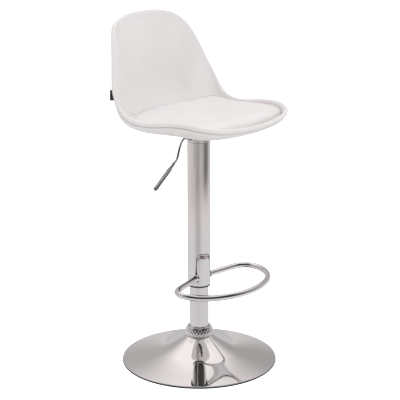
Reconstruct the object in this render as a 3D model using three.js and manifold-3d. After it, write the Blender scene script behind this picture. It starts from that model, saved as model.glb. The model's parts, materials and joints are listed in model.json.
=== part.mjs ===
// Adjustable swivel stool: chromed trumpet base, gas-lift column, footrest loop, release lever and
// an upholstered bucket seat. Millimetres, +Z up. The origin is on the floor, on the column's axis.
// The sitter faces -Y, so the sitter's right hand is on the -X side, where the lever is.
// The seat stands at its lowest height.
import * as THREE from 'three';
import * as BufferGeometryUtils from 'three/addons/utils/BufferGeometryUtils.js';
import Module from 'manifold-3d';

const wasm = await Module();
wasm.setup();

// ---------------------------------------------------------------- driving dimensions
const GAP = 0.3; // between pieces that touch
const ROUND = 36; // sides of a large round piece
const SMALL_ROUND = 16; // sides of a small round piece

const BASE_RADIUS = 205;
const DISH_WALL = 1.6;
const DISH_STEPS = 10;
const FLOOR_RING_HEIGHT = 3.6;
const FLOOR_RING_WIDTH = 15;
const BALLAST_RADIUS = 150;
const BALLAST_BOTTOM = 4.5;
const BALLAST_THICKNESS = 4;

const STAND_RADIUS = 25.4;
const STAND_BORE = 23.8;
const STAND_BOTTOM = 4.5;
const STAND_TOP = 540;
const TRIM_BOTTOM = 70.8;
const TRIM_TOP = 96.2;

const ROD_RADIUS = 5;
const ROD_BOTTOM = 8.5;
const ROD_TOP = 330;
const FOOT_BOTTOM = 12;
const FOOT_TOP = 20;
const WASHER_THICKNESS = 2;
const WASHER_RADIUS = 14;
const BALL_RADIUS = 1.9;
const BALL_COUNT = 8;
const BALL_CIRCLE = 10;
const PISTON_BOTTOM = 312;

const LIFT_RADIUS = 14;
const LIFT_BORE = 12.2;
const LIFT_BOTTOM = 78;
const LIFT_TOP = 600;
const TAPER_TOP_RADIUS = 13.6; // the gas cylinder narrows to this in its hub
const VALVE_BORE_BOTTOM = 575;
const VALVE_PIN_RADIUS = 3;

const COVER_RADIUS = 30;
const COVER_BORE = 28.5;
const COVER_BOTTOM = 213.3;
const BUSH_FLANGE = 4; // how far the guide bush shows below the cover tube
const COVER_TOP = 600;
const HUB_BOTTOM = 560;

const FOOTREST_HEIGHT = 235;
const FOOTREST_TUBE_RADIUS = 8;
const FOOTREST_HALF_WIDTH = 152.5;
const FOOTREST_ELLIPSE_Y = -66;
const FOOTREST_FRONT = -179;
const FOOTREST_ARM_START = [26, -11.8]; // at the column
const FOOTREST_ARM_END = [102, -24.7]; // where the arm starts to bend forward
const FOOTREST_CORNER_Y = -32;

const LEVER_HEIGHT = 613;
const LEVER_PIVOT_X = -36;
const LEVER_ROD_RADIUS = 3;
const LEVER_PIN_RADIUS = 1.5;
const LEVER_BEND = new THREE.Vector3(-92, 0, 566); // from here the lever is straight
const LEVER_TIP = new THREE.Vector3(-180, 0, 505);
const LEVER_STRAIGHT = 60; // how far the rod runs past its bend
const FERRULE_START = 10; // past the bend
const RIB_PITCH = 2.6;
const RIB_COUNT = 7;
const GRIP_LENGTH = 68;
const PLATE_BOTTOM = 624.2;
const PLATE_TOP = 626.7;
const PLATE_HALF = 52;
const SCREW_CIRCLE = 40; // distance of the screws from both axes
const SCREW_RADIUS = 3;
const SCREW_TOP = 635;

const SEAT_CENTRE_Y = -5; // the bucket's profiles start from this line
const SEAT_INNER_BOTTOM = 644; // upholstery under the seat pad
const SEAT_OUTER_BOTTOM = 627; // underside of the bucket
const WELT_RADIUS = 5.5;
const EDGE_STOP = 7; // the bucket's layers end this far below the rolled edge's centre line
const EDGE_HALF_THICKNESS = 5;
// Shares of the bucket's thickness, from its inner face to its outer one.
const UPHOLSTERY_LAYER = [0, 0.4];
const SHELL_LAYER = [0.46, 0.78];
const COVER_LAYER = [0.84, 1];
const PAD_EDGE_HEIGHT = 671; // where the pad meets the back and the sides
const PAD_LIFT = 4; // clearance of the pad over the upholstery's flat facets
const PAD_TOP = 677;
const SEAT_AROUND = 46; // steps around the bucket
const SEAT_ACROSS = 7; // steps from the middle of the bucket to its edge

// Centre line of the rolled edge, from the front middle to the top of the back, sitter's left half.
const EDGE_HALF = [
  [0, -193, 662.5], [76, -188, 665.5], [136, -174, 670.5], [175, -145, 679], [186, -103, 684],
  [184, -50, 680.5], [188, 4, 673.5], [198, 50, 677.5], [203, 84, 697], [199, 108, 738],
  [186, 122, 774], [169, 136, 820], [148, 155, 867], [119, 174, 896], [62, 185, 911], [0, 187, 914],
];

// ---------------------------------------------------------------- helpers
const stool = new THREE.Group();

function material(color, roughness, metalness) {
  return new THREE.MeshStandardMaterial({ color, roughness, metalness });
}

const chrome = () => material(0xd6d7d8, 0.08, 1);
const satinSteel = () => material(0xb4b5b6, 0.35, 1);
const darkSteel = () => material(0x5a5c5e, 0.45, 0.9);
const blackPlastic = () => material(0x161616, 0.5, 0);
const whiteLeather = () => material(0xe9e4e0, 0.5, 0);

function addPart(name, geometry, surface) {
  const mesh = new THREE.Mesh(geometry, surface);
  mesh.name = name;
  stool.add(mesh);
  return mesh;
}

/** Turn a closed outline of [radius, height] pairs about the Z axis. */
function turned(outline, sides = ROUND) {
  const points = outline.map(([r, z]) => new THREE.Vector2(r, z));
  points.push(points[0].clone());
  return new THREE.LatheGeometry(points, sides).rotateX(Math.PI / 2);
}

/** A ring with a rectangular section. */
function ring(inner, outer, bottom, top, sides = ROUND) {
  return turned([[inner, bottom], [outer, bottom], [outer, top], [inner, top]], sides);
}

/** An upright cylinder that stands on a height. */
function post(radius, bottom, top, sides = SMALL_ROUND) {
  const cylinder = new THREE.CylinderGeometry(radius, radius, top - bottom, sides);
  return cylinder.rotateX(Math.PI / 2).translate(0, 0, (bottom + top) / 2);
}

/** A box from its lowest corner to its highest one. */
function block(low, high) {
  const box = new THREE.BoxGeometry(high[0] - low[0], high[1] - low[1], high[2] - low[2]);
  return box.translate((low[0] + high[0]) / 2, (low[1] + high[1]) / 2, (low[2] + high[2]) / 2);
}

/** A round bar or tube skin that follows a curve. */
function swept(curve, radius, steps, sides) {
  const section = new THREE.Shape();
  section.absarc(0, 0, radius, 0, 2 * Math.PI, false);
  return new THREE.ExtrudeGeometry(section, {
    extrudePath: curve, steps, curveSegments: sides / 2, bevelEnabled: false,
  });
}

function toSolid(geometry) {
  const bare = geometry.clone();
  bare.deleteAttribute('normal');
  bare.deleteAttribute('uv');
  const merged = BufferGeometryUtils.mergeVertices(bare, 1e-4);
  return new wasm.Manifold(new wasm.Mesh({
    numProp: 3,
    vertProperties: new Float32Array(merged.attributes.position.array),
    triVerts: new Uint32Array(merged.index.array),
  }));
}

function toGeometry(solid) {
  const mesh = solid.getMesh();
  const geometry = new THREE.BufferGeometry();
  geometry.setAttribute('position', new THREE.BufferAttribute(mesh.vertProperties, 3));
  geometry.setIndex(new THREE.BufferAttribute(mesh.triVerts, 1));
  geometry.computeVertexNormals();
  return geometry;
}

function cut(geometry, tools) {
  return toGeometry(tools.reduce((solid, tool) => solid.subtract(toSolid(tool)), toSolid(geometry)));
}

function joined(geometry, others) {
  return toGeometry(others.reduce((solid, other) => solid.add(toSolid(other)), toSolid(geometry)));
}

// ---------------------------------------------------------------- base
function dishOutline() {
  const top = new THREE.SplineCurve([
    [33.5, 70.3], [45, 63], [60, 53.3], [80, 41.6], [95, 33.8], [105, 29.7], [125, 23.8], [150, 17.9],
    [180, 11.6], [BASE_RADIUS, 6.4],
  ].map(([r, z]) => new THREE.Vector2(r, z)));
  const outer = top.getPoints(DISH_STEPS);
  const inner = outer.map((point, i) => {
    const along = top.getTangent(i / DISH_STEPS);
    return new THREE.Vector2(point.x + along.y * DISH_WALL, point.y - along.x * DISH_WALL);
  });
  inner.pop();
  const rim = [[BASE_RADIUS, FLOOR_RING_HEIGHT + GAP], [BASE_RADIUS - DISH_WALL, FLOOR_RING_HEIGHT + GAP]];
  return [...inner.map((p) => [p.x, p.y]), ...rim.reverse(), ...outer.reverse().map((p) => [p.x, p.y])];
}

function buildBase() {
  addPart('floor_ring',
    ring(BASE_RADIUS - FLOOR_RING_WIDTH, BASE_RADIUS - 0.6, 0, FLOOR_RING_HEIGHT), blackPlastic());
  addPart('base_dish', turned(dishOutline(), 48), chrome());
  const ballastTop = BALLAST_BOTTOM + BALLAST_THICKNESS;
  addPart('ballast_plate',
    ring(STAND_RADIUS + GAP, BALLAST_RADIUS, BALLAST_BOTTOM, ballastTop), darkSteel());
  addPart('stand_tube', ring(STAND_BORE, STAND_RADIUS, STAND_BOTTOM, STAND_TOP), chrome());
  const trimBore = STAND_RADIUS + GAP;
  addPart('trim_ring', turned([
    [trimBore, TRIM_BOTTOM], [33.6, TRIM_BOTTOM], [36.6, 73.2], [37.8, 78.5], [36.9, 84.5], [34.4, 90.5],
    [31.4, 95], [29.8, TRIM_TOP], [28.2, TRIM_TOP], [trimBore, 94],
  ]), chrome());
}

function buildColumnInside() {
  const bore = ROD_RADIUS + 0.6;
  addPart('column_foot', ring(bore, STAND_BORE - GAP, FOOT_BOTTOM, FOOT_TOP, 24), darkSteel());
  const lowerWasher = FOOT_TOP + GAP;
  addPart('bearing_lower_washer',
    ring(bore, WASHER_RADIUS, lowerWasher, lowerWasher + WASHER_THICKNESS, 24), satinSteel());
  const cageBottom = lowerWasher + WASHER_THICKNESS + GAP;
  const cageMiddle = cageBottom + BALL_RADIUS;
  const balls = [];
  for (let i = 0; i < BALL_COUNT; i += 1) {
    const angle = (2 * Math.PI * i) / BALL_COUNT;
    const ball = new THREE.SphereGeometry(BALL_RADIUS, 8, 5).rotateX(Math.PI / 2);
    balls.push(ball.translate(BALL_CIRCLE * Math.cos(angle), BALL_CIRCLE * Math.sin(angle), cageMiddle));
  }
  const cage = ring(bore + 1, WASHER_RADIUS - 0.6, cageMiddle - 0.6, cageMiddle + 0.6, 32);
  addPart('bearing_ball_cage', joined(cage, balls), satinSteel());
  const upperWasher = cageBottom + 2 * BALL_RADIUS + GAP;
  addPart('bearing_upper_washer',
    ring(ROD_RADIUS + GAP, WASHER_RADIUS, upperWasher, upperWasher + WASHER_THICKNESS, 24), satinSteel());
  addPart('rod_clip', ring(ROD_RADIUS + GAP, 9, 9.6, 11.4, SMALL_ROUND), darkSteel());
  const shoulder = upperWasher + WASHER_THICKNESS + GAP;
  addPart('piston_rod', turned([
    [0, ROD_BOTTOM], [ROD_RADIUS, ROD_BOTTOM], [ROD_RADIUS, shoulder], [8, shoulder], [8, shoulder + 6],
    [ROD_RADIUS, shoulder + 6], [ROD_RADIUS, ROD_TOP], [0, ROD_TOP],
  ], SMALL_ROUND), satinSteel());
  addPart('bump_stop',
    ring(ROD_RADIUS + GAP, 12.5, shoulder + 6.3, LIFT_BOTTOM - 2, SMALL_ROUND), blackPlastic());
  addPart('piston',
    ring(ROD_RADIUS + GAP, LIFT_BORE - GAP, PISTON_BOTTOM, PISTON_BOTTOM + 12, 24), darkSteel());
  addPart('guide_bush', turned([
    [LIFT_RADIUS + GAP, 500], [STAND_BORE - GAP, 500], [STAND_BORE - GAP, STAND_TOP + GAP],
    [STAND_RADIUS, STAND_TOP + GAP], [STAND_RADIUS, STAND_TOP + 4], [LIFT_RADIUS + GAP, STAND_TOP + 4],
  ], 24), blackPlastic());
}

// ---------------------------------------------------------------- moving column
function buildLift() {
  addPart('gas_cylinder', turned([
    [LIFT_BORE, LIFT_BOTTOM], [LIFT_RADIUS, LIFT_BOTTOM], [LIFT_RADIUS, HUB_BOTTOM],
    [TAPER_TOP_RADIUS, LIFT_TOP],
    [VALVE_PIN_RADIUS + 0.4, LIFT_TOP], [VALVE_PIN_RADIUS + 0.4, VALVE_BORE_BOTTOM],
    [LIFT_BORE, VALVE_BORE_BOTTOM],
  ], 24), darkSteel());
  addPart('rod_guide',
    ring(ROD_RADIUS + GAP, LIFT_BORE - GAP, LIFT_BOTTOM + 1, LIFT_BOTTOM + 18, 24), blackPlastic());
  addPart('cover_tube', ring(COVER_BORE, COVER_RADIUS, COVER_BOTTOM, COVER_TOP), chrome());
  const glideBore = STAND_RADIUS + 0.4;
  addPart('glide_bush', turned([
    [glideBore, COVER_BOTTOM - BUSH_FLANGE], [COVER_RADIUS + 0.2, COVER_BOTTOM - BUSH_FLANGE],
    [COVER_RADIUS + 0.2, COVER_BOTTOM - GAP], [COVER_BORE - GAP, COVER_BOTTOM - GAP],
    [COVER_BORE - GAP, COVER_BOTTOM + 24], [glideBore, COVER_BOTTOM + 24],
  ]), blackPlastic());
  addPart('taper_hub', turned([
    [LIFT_RADIUS + GAP, HUB_BOTTOM], [COVER_BORE - GAP, HUB_BOTTOM], [COVER_BORE - GAP, LIFT_TOP - 0.2],
    [TAPER_TOP_RADIUS + GAP, LIFT_TOP - 0.2],
  ], 24), satinSteel());
}

function footrestPath() {
  const path = new THREE.CurvePath();
  const flat = (x, y) => new THREE.Vector3(x, y, FOOTREST_HEIGHT);
  const [startX, startY] = FOOTREST_ARM_START;
  const [endX, endY] = FOOTREST_ARM_END;
  const depth = FOOTREST_ELLIPSE_Y - FOOTREST_FRONT;
  const front = new THREE.CatmullRomCurve3(
    Array.from({ length: 17 }, (_, i) => {
      const angle = (Math.PI * i) / 16;
      return flat(FOOTREST_HALF_WIDTH * Math.cos(angle), FOOTREST_ELLIPSE_Y - depth * Math.sin(angle));
    }));
  path.add(new THREE.LineCurve3(flat(startX, startY), flat(endX, endY)));
  path.add(new THREE.QuadraticBezierCurve3(
    flat(endX, endY), flat(FOOTREST_HALF_WIDTH, FOOTREST_CORNER_Y),
    flat(FOOTREST_HALF_WIDTH, FOOTREST_ELLIPSE_Y)));
  path.add(front);
  path.add(new THREE.QuadraticBezierCurve3(
    flat(-FOOTREST_HALF_WIDTH, FOOTREST_ELLIPSE_Y), flat(-FOOTREST_HALF_WIDTH, FOOTREST_CORNER_Y),
    flat(-endX, endY)));
  path.add(new THREE.LineCurve3(flat(-endX, endY), flat(-startX, startY)));
  return path;
}

function buildFootrest() {
  addPart('footrest', cut(swept(footrestPath(), FOOTREST_TUBE_RADIUS, 60, 10),
    [post(COVER_RADIUS + GAP, FOOTREST_HEIGHT - 20, FOOTREST_HEIGHT + 20, ROUND)]), chrome());
}

// ---------------------------------------------------------------- seat mechanism and lever
function buildMechanism() {
  const ringBottom = COVER_TOP + GAP;
  const ringTop = PLATE_BOTTOM - GAP;
  const slot = block([-34, -5, LEVER_HEIGHT - 5], [-18, 5, ringTop + 1]);
  addPart('mechanism_ring', cut(ring(25.5, 29.8, ringBottom, ringTop), [slot]), chrome());

  const pinHole = new THREE.CylinderGeometry(LEVER_PIN_RADIUS + GAP, LEVER_PIN_RADIUS + GAP, 30, 12);
  pinHole.translate(LEVER_PIVOT_X, 0, LEVER_HEIGHT);
  const bracketBlank = block([-43, -5.6, LEVER_HEIGHT - 4.6], [-30.4, 5.6, ringTop]);
  const bracketSlot = block([-45, -3.5, 600], [-29, 3.5, ringTop - 1.5]);
  addPart('lever_bracket', cut(bracketBlank, [bracketSlot, pinHole]), satinSteel());
  const pin = new THREE.CylinderGeometry(LEVER_PIN_RADIUS, LEVER_PIN_RADIUS, 13, 12);
  addPart('lever_pivot_pin', pin.translate(LEVER_PIVOT_X, 0, LEVER_HEIGHT), satinSteel());

  const pinTop = LEVER_HEIGHT - LEVER_ROD_RADIUS - GAP;
  addPart('release_pin', post(VALVE_PIN_RADIUS, VALVE_BORE_BOTTOM - 8, pinTop), satinSteel());

  const plate = new THREE.Shape();
  const corner = 12;
  const side = PLATE_HALF - corner;
  plate.absarc(side, side, corner, 0, Math.PI / 2);
  plate.absarc(-side, side, corner, Math.PI / 2, Math.PI);
  plate.absarc(-side, -side, corner, Math.PI, 1.5 * Math.PI);
  plate.absarc(side, -side, corner, 1.5 * Math.PI, 2 * Math.PI);
  for (const [x, y] of screwPlaces()) {
    const hole = new THREE.Path();
    hole.absarc(x, y, SCREW_RADIUS + GAP, 0, 2 * Math.PI, true);
    plate.holes.push(hole);
  }
  const plateGeometry = new THREE.ExtrudeGeometry(plate, {
    depth: PLATE_TOP - PLATE_BOTTOM, bevelEnabled: false, curveSegments: 4,
  });
  addPart('seat_plate', plateGeometry.translate(0, 0, PLATE_BOTTOM), darkSteel());
}

function screwPlaces() {
  return [[1, 1], [-1, 1], [-1, -1], [1, -1]].map(([i, j]) => [i * SCREW_CIRCLE, j * SCREW_CIRCLE]);
}

function buildScrews() {
  screwPlaces().forEach(([x, y], i) => {
    const headBottom = PLATE_BOTTOM - 3;
    const screw = turned([
      [0, headBottom], [5, headBottom], [5.5, headBottom + 1], [5.5, PLATE_BOTTOM - GAP],
      [SCREW_RADIUS, PLATE_BOTTOM - GAP], [SCREW_RADIUS, SCREW_TOP], [0, SCREW_TOP],
    ], 8);
    addPart(`seat_screw_${i + 1}`, screw.translate(x, y, 0), satinSteel());
  });
}

/** The lever's rod leaves under the seat, bends down, then points out and down to the grip. */
function buildLever() {
  const outward = LEVER_TIP.clone().sub(LEVER_BEND).normalize();
  const pastBend = (distance) => LEVER_BEND.clone().addScaledVector(outward, distance);
  const path = new THREE.CatmullRomCurve3([
    new THREE.Vector3(4, 0, LEVER_HEIGHT), new THREE.Vector3(-20, 0, LEVER_HEIGHT),
    new THREE.Vector3(-44, 0, LEVER_HEIGHT), new THREE.Vector3(-59, 0, LEVER_HEIGHT + 3),
    new THREE.Vector3(-69.5, 0, 610), new THREE.Vector3(-77, 0, 598), new THREE.Vector3(-83.5, 0, 582),
    LEVER_BEND, pastBend(8), pastBend(LEVER_STRAIGHT / 2), pastBend(LEVER_STRAIGHT),
  ]);
  const pinHole = new THREE.CylinderGeometry(LEVER_PIN_RADIUS + GAP, LEVER_PIN_RADIUS + GAP, 30, 12);
  pinHole.translate(LEVER_PIVOT_X, 0, LEVER_HEIGHT);
  addPart('lever_rod', cut(swept(path, LEVER_ROD_RADIUS, 30, 8), [pinHole]), satinSteel());

  const turn = new THREE.Quaternion().setFromUnitVectors(new THREE.Vector3(0, 0, 1), outward);
  const place = (geometry, distance) => {
    const at = pastBend(distance);
    return geometry.applyQuaternion(turn).translate(at.x, at.y, at.z);
  };
  const bore = LEVER_ROD_RADIUS + GAP;
  const ribs = [[bore, 0]];
  for (let i = 0; i < RIB_COUNT; i += 1) {
    const foot = RIB_PITCH * i;
    ribs.push([4.1, foot + 0.2], [4.1, foot + 1.4], [3.7, foot + 1.6], [3.7, foot + RIB_PITCH]);
  }
  ribs.push([bore, RIB_PITCH * RIB_COUNT]);
  const gripStart = FERRULE_START + RIB_PITCH * RIB_COUNT + GAP;
  addPart('lever_ferrule', place(turned(ribs, 10), FERRULE_START), satinSteel());
  addPart('lever_grip', place(turned([
    [bore, 0], [4.6, 0], [5.4, 2], [5.5, GRIP_LENGTH], [bore, GRIP_LENGTH],
  ], 16), gripStart), satinSteel());
  const cap = [[0, 0], [5.4, 0], [5.4, 3.4], [4.7, 6.4], [3, 8.6], [0, 9.6]];
  addPart('lever_end_cap', place(turned(cap, 16), gripStart + GRIP_LENGTH + GAP), satinSteel());
}

// ---------------------------------------------------------------- bucket seat
const edgePoints = [
  ...EDGE_HALF,
  ...EDGE_HALF.slice(1, -1).reverse().map(([x, y, z]) => [-x, y, z]),
].map((p) => new THREE.Vector3(...p));
const edgeCurve = new THREE.CatmullRomCurve3(edgePoints, true, 'centripetal');

function mix(a, b, share) {
  return a + (b - a) * share;
}

/**
 * The profiles at u: two upright curves from the bucket's middle to its edge, one on the inner face
 * and one on the outer face. They end side by side, just short of the rolled edge.
 */
function bucketProfiles(u) {
  const edge = edgeCurve.getPoint(u);
  const along = edgeCurve.getTangent(u);
  const back = THREE.MathUtils.smoothstep(edge.z, 690, 890); // 0 at the seat's sides, 1 at the top
  const front = THREE.MathUtils.smoothstep(-edge.y, 60, 180); // 1 at the seat's front edge
  const place = (share, z) => new THREE.Vector3(
    edge.x * share, SEAT_CENTRE_Y + (edge.y - SEAT_CENTRE_Y) * share, z);
  const inner = [
    place(0, SEAT_INNER_BOTTOM),
    place(mix(0.74, 1.0, back), SEAT_INNER_BOTTOM - 4),
    place(mix(0.92, 0.78, back), mix(SEAT_INNER_BOTTOM + 4, 702, back)),
  ];
  const outer = [
    place(0, SEAT_OUTER_BOTTOM),
    place(mix(0.55, 0.98, back), SEAT_OUTER_BOTTOM - 1),
    place(mix(0.99, 0.88, back), mix(SEAT_OUTER_BOTTOM + 17 - 3 * front, 695, back)),
  ];
  const outward = edge.clone().sub(inner[2]);
  outward.addScaledVector(along, -outward.dot(along)).normalize();
  const facing = new THREE.Vector3().crossVectors(outward, along);
  const end = edge.clone().addScaledVector(outward, -EDGE_STOP);
  inner.push(end.clone().addScaledVector(facing, EDGE_HALF_THICKNESS));
  outer.push(end.clone().addScaledVector(facing, -EDGE_HALF_THICKNESS));
  return [inner, outer].map((points) => new THREE.CubicBezierCurve3(...points));
}

/** A point of the bucket: t runs from the middle to the edge, layer from the inner face to the outer. */
function bucketPoint(u, t, layer) {
  const [inner, outer] = bucketProfiles(u);
  return inner.getPoint(t).lerp(outer.getPoint(t), layer);
}

/** A closed skin between two faces. Each face is a function of (u, t), with one middle point. */
function closedSkin(upper, lower, around = SEAT_AROUND, across = SEAT_ACROSS) {
  const positions = [];
  const index = [];
  const put = (p) => positions.push(p.x, p.y, p.z) / 3 - 1;
  const faces = [upper, lower].map((face) => {
    const middle = put(face(0, 0));
    const rows = [];
    for (let j = 1; j <= across; j += 1) {
      rows.push(Array.from({ length: around }, (_, i) => put(face(i / around, j / across))));
    }
    return { middle, rows };
  });
  const next = (i) => (i + 1) % around;
  faces.forEach(({ middle, rows }, side) => {
    const add = (a, b, c) => (side === 0 ? index.push(a, b, c) : index.push(a, c, b));
    for (let i = 0; i < around; i += 1) {
      add(middle, rows[0][i], rows[0][next(i)]);
      for (let j = 1; j < across; j += 1) {
        add(rows[j - 1][i], rows[j][i], rows[j][next(i)]);
        add(rows[j - 1][i], rows[j][next(i)], rows[j - 1][next(i)]);
      }
    }
  });
  const [top, bottom] = faces.map(({ rows }) => rows[across - 1]);
  for (let i = 0; i < around; i += 1) {
    index.push(top[i], bottom[i], bottom[next(i)], top[i], bottom[next(i)], top[next(i)]);
  }
  const geometry = new THREE.BufferGeometry();
  geometry.setAttribute('position', new THREE.Float32BufferAttribute(positions, 3));
  geometry.setIndex(index);
  geometry.computeVertexNormals();
  return geometry;
}

function layerSkin([innerLayer, outerLayer]) {
  return closedSkin(
    (u, t) => bucketPoint(u, t, innerLayer), (u, t) => bucketPoint(u, t, outerLayer));
}

function buildBucket() {
  const screwHoles = screwPlaces().map(([x, y]) => (
    post(SCREW_RADIUS + GAP, PLATE_BOTTOM, SCREW_TOP + 0.5, 12).translate(x, y, 0)));
  addPart('inner_upholstery', layerSkin(UPHOLSTERY_LAYER), whiteLeather());
  addPart('seat_shell', cut(layerSkin(SHELL_LAYER), screwHoles), blackPlastic());
  addPart('outer_cover', cut(layerSkin(COVER_LAYER), screwHoles), whiteLeather());
  addPart('edge_welt', ringAlongEdge(), whiteLeather());
}

/** The rolled edge: a round cord that closes on itself along the bucket's edge. */
function ringAlongEdge() {
  const sides = 8;
  const steps = SEAT_AROUND;
  const positions = [];
  const index = [];
  for (let i = 0; i < steps; i += 1) {
    const middle = edgeCurve.getPoint(i / steps);
    const along = edgeCurve.getTangent(i / steps);
    const out = new THREE.Vector3(middle.x, middle.y - SEAT_CENTRE_Y, 0).normalize();
    out.addScaledVector(along, -out.dot(along)).normalize();
    const up = new THREE.Vector3().crossVectors(out, along);
    for (let k = 0; k < sides; k += 1) {
      const angle = (2 * Math.PI * k) / sides;
      const p = middle.clone()
        .addScaledVector(out, WELT_RADIUS * Math.cos(angle))
        .addScaledVector(up, WELT_RADIUS * Math.sin(angle));
      positions.push(p.x, p.y, p.z);
      const [a, b] = [i * sides + k, i * sides + ((k + 1) % sides)];
      const shift = ((i + 1) % steps) * sides - i * sides;
      index.push(a, b + shift, b, a, a + shift, b + shift);
    }
  }
  const geometry = new THREE.BufferGeometry();
  geometry.setAttribute('position', new THREE.Float32BufferAttribute(positions, 3));
  geometry.setIndex(index);
  geometry.computeVertexNormals();
  return geometry;
}

/** How far along the profile at u the pad's edge lies: the profile is at the edge's height there. */
function padReach(u) {
  const height = Math.min(edgeCurve.getPoint(u).z - 7, PAD_EDGE_HEIGHT);
  let low = 0.3;
  let high = 1;
  for (let i = 0; i < 24; i += 1) {
    const middle = (low + high) / 2;
    if (bucketPoint(u, middle, 0).z < height) low = middle;
    else high = middle;
  }
  return low;
}

/** A point over the bucket's inner face, lifted off it. */
function liftedPoint(u, t, lift) {
  const [inner, outer] = bucketProfiles(u).map((profile) => profile.getPoint(t));
  return inner.clone().addScaledVector(inner.clone().sub(outer).normalize(), lift);
}

/** The seat pad lies loose in the bucket; its top is a low dome. */
function buildPad() {
  const lower = (u, t) => liftedPoint(u, t * padReach(u), PAD_LIFT);
  const upper = (u, t) => {
    const reach = padReach(u);
    const p = liftedPoint(u, t * reach, PAD_LIFT + 1);
    p.z = mix(PAD_TOP, liftedPoint(u, reach, PAD_LIFT).z + 4, t ** 3);
    return p;
  };
  addPart('seat_pad', closedSkin(upper, lower, SEAT_AROUND, 4), whiteLeather());
}

/** A folded fabric label, held by the seam, lies along the rolled edge on the sitter's right. */
function buildLabel() {
  const [bottom, middle, top] = [8, 9, 10].map((i) => new THREE.Vector3(...EDGE_HALF[i]));
  for (const p of [bottom, middle, top]) p.x = -p.x;
  const along = top.sub(bottom).normalize();
  const facing = new THREE.Vector3(-0.79, -0.61, 0);
  facing.addScaledVector(along, -facing.dot(along)).normalize();
  const across = new THREE.Vector3().crossVectors(facing, along);
  const label = new THREE.BoxGeometry(12, 1, 27);
  label.applyMatrix4(new THREE.Matrix4().makeBasis(across, facing, along));
  const at = middle.addScaledVector(facing, WELT_RADIUS + 1).addScaledVector(across, 2.5);
  addPart('side_label', label.translate(at.x, at.y, at.z), blackPlastic());
}

buildBase();
buildColumnInside();
buildLift();
buildFootrest();
buildMechanism();
buildScrews();
buildLever();
buildBucket();
buildPad();
buildLabel();

export default stool;
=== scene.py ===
"""Looks of the adjustable swivel stool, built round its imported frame.

Metres, +Z up, the origin on the floor under the column. The sitter faces -Y and the release
lever is on the -X side. Shapes follow the frame's sizes, given here in millimetres, apart from small
changes that the photo asks for, such as the height of the pad's edge.
"""
import json
import math

import bmesh
import bpy
import numpy as np
from mathutils import Matrix, Vector
from mathutils.kdtree import KDTree


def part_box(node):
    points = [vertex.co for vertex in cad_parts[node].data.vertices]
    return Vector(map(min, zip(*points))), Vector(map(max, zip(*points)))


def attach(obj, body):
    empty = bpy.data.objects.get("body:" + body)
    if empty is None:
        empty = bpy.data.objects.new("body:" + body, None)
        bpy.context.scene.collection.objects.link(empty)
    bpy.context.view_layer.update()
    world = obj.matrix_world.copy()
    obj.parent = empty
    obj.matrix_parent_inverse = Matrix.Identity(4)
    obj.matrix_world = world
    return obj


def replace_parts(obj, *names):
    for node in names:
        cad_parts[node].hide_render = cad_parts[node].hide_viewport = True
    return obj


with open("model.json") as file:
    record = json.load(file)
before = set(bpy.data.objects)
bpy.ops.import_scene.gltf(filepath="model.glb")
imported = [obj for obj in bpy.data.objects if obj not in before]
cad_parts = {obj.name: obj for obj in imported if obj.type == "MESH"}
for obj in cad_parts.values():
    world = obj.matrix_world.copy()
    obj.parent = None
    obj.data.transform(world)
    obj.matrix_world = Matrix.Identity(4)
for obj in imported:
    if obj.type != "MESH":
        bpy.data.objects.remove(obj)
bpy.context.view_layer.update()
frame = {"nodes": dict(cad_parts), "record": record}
cad_nodes = frame["nodes"]
MM = 0.001

# ---------------------------------------------------------------- sizes, near or equal to the frame's
BASE_RADIUS = 205
DISH_TOP = [
    (33.5, 70.3), (36.5, 68.8), (45, 63), (60, 53.3), (80, 41.6), (95, 33.8), (105, 29.7), (125, 23.8),
    (150, 17.9), (180, 11.6), (205, 6.4),
]
DISH_WALL = 1.6
DISH_RIM_BOTTOM = 3.9
FOOTREST_HEIGHT = 235
FOOTREST_TUBE_RADIUS = 8
FOOTREST_HALF_WIDTH = 152.5
FOOTREST_ELLIPSE_Y = -66
FOOTREST_DEPTH = 113
FOOTREST_ARM_START = (26, -11.8)
FOOTREST_ARM_END = (102, -24.7)
FOOTREST_CORNER_Y = -32
COVER_RADIUS = 30

LEVER_HEIGHT = 613
LEVER_BEND = np.array([-92, 0, 566.0])
LEVER_TIP = np.array([-180, 0, 505.0])
LEVER_OUT = (LEVER_TIP - LEVER_BEND) / np.linalg.norm(LEVER_TIP - LEVER_BEND)
FERRULE_START = 10
GRIP_START = 28.5
GRIP_LENGTH = 68

SEAT_CENTRE_Y = -5
SEAT_INNER_BOTTOM = 644
SEAT_OUTER_BOTTOM = 627
EDGE_STOP = 7
EDGE_HALF_THICKNESS = 5
UPHOLSTERY_LAYER = 0.4
COVER_LAYER = 0.84
COVER_INNER_LAYER = COVER_LAYER + 0.02
PAD_EDGE_HEIGHT = 674
PAD_TOP = 679
PAD_CLEARANCE = 2.2  # between the pad's underside and the upholstery
PAD_BORDER_LIFT = 2.6
PAD_VOXEL = 0.005  # metres, in the copy that the cloth simulation fills
PLUMP_LIMIT = 5.0  # how far the simulation may move a point
CLOTH_FRAMES = 20
EDGE_HALF = [
    (0, -193, 662.5), (76, -188, 665.5), (136, -174, 670.5), (175, -145, 679), (186, -103, 684),
    (184, -50, 680.5), (188, 4, 673.5), (198, 50, 677.5), (203, 84, 697), (199, 108, 738),
    (186, 122, 774), (169, 136, 820), (148, 155, 867), (119, 174, 896), (62, 185, 911), (0, 187, 914),
]

AROUND = 288  # columns round the bucket
STITCHES = 330
STITCH_POINTS = 4
KNURL_SIDES = 320
KNURLS = 26  # diamonds round the neck ring
KNURL_PITCH = 9.5
KNURL_DEPTH = 1.6
LIP_RADIUS = 5.9


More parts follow.
